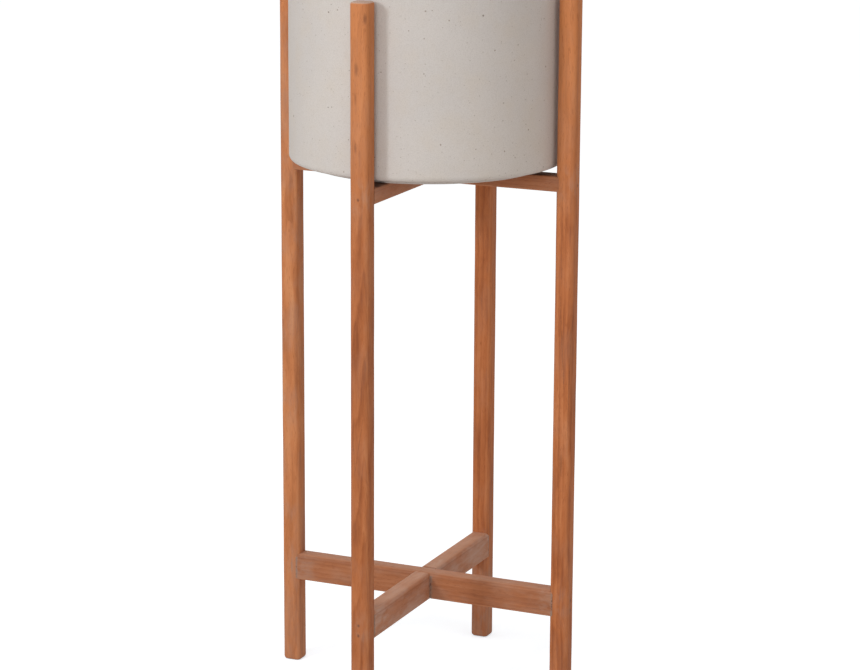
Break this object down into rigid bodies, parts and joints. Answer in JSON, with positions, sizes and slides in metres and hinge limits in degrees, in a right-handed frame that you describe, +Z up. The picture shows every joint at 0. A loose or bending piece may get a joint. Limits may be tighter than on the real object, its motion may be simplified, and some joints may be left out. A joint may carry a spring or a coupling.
{
  "type": "planter with stand",
  "caption": "Tall floor planter: a plain cylindrical ceramic pot held between straight wooden legs on half-lapped crossed bars, with a second cross near the floor.",
  "frame": {"origin": "on the floor, under the middle of the pot", "axes": "+Z up the pot's axis; -Y towards the front leg and +X towards the right leg, each of which stands on an axis"},
  "size_m": [0.356, 0.356, 0.8573],
  "materials": {
    "leg_wood": "oiled reddish brown hardwood, satin",
    "bar_wood": "oiled reddish brown hardwood, duller and greyer than the legs",
    "brad_steel": "dull dark wire",
    "screw_steel": "zinc-plated",
    "pot_ceramic": "matte warm grey with fine dark specks",
    "plug_rubber": "matte black"
  },
  "bodies": {
    "stand": {"front_leg": "leg_wood", "right_leg": "leg_wood", "back_leg": "leg_wood", "left_leg": "leg_wood", "lower_side_bar": "bar_wood", "lower_front_back_bar": "bar_wood", "upper_side_bar": "bar_wood", "upper_front_back_bar": "bar_wood", "lower_brads": "brad_steel", "upper_brads": "brad_steel", "lap_screws": "screw_steel"},
    "pot": {"pot": "pot_ceramic"},
    "plug": {"drain_plug": "plug_rubber"}
  },
  "joints": [
    {"name": "pot_lift", "type": "slide", "parent": "stand", "child": "pot", "axis": [0, 0, 1], "range_m": [0, 0.22]},
    {"name": "plug_pull", "type": "slide", "parent": "pot", "child": "plug", "axis": [0, 0, 1], "range_m": [0, 0.27]}
  ]
}
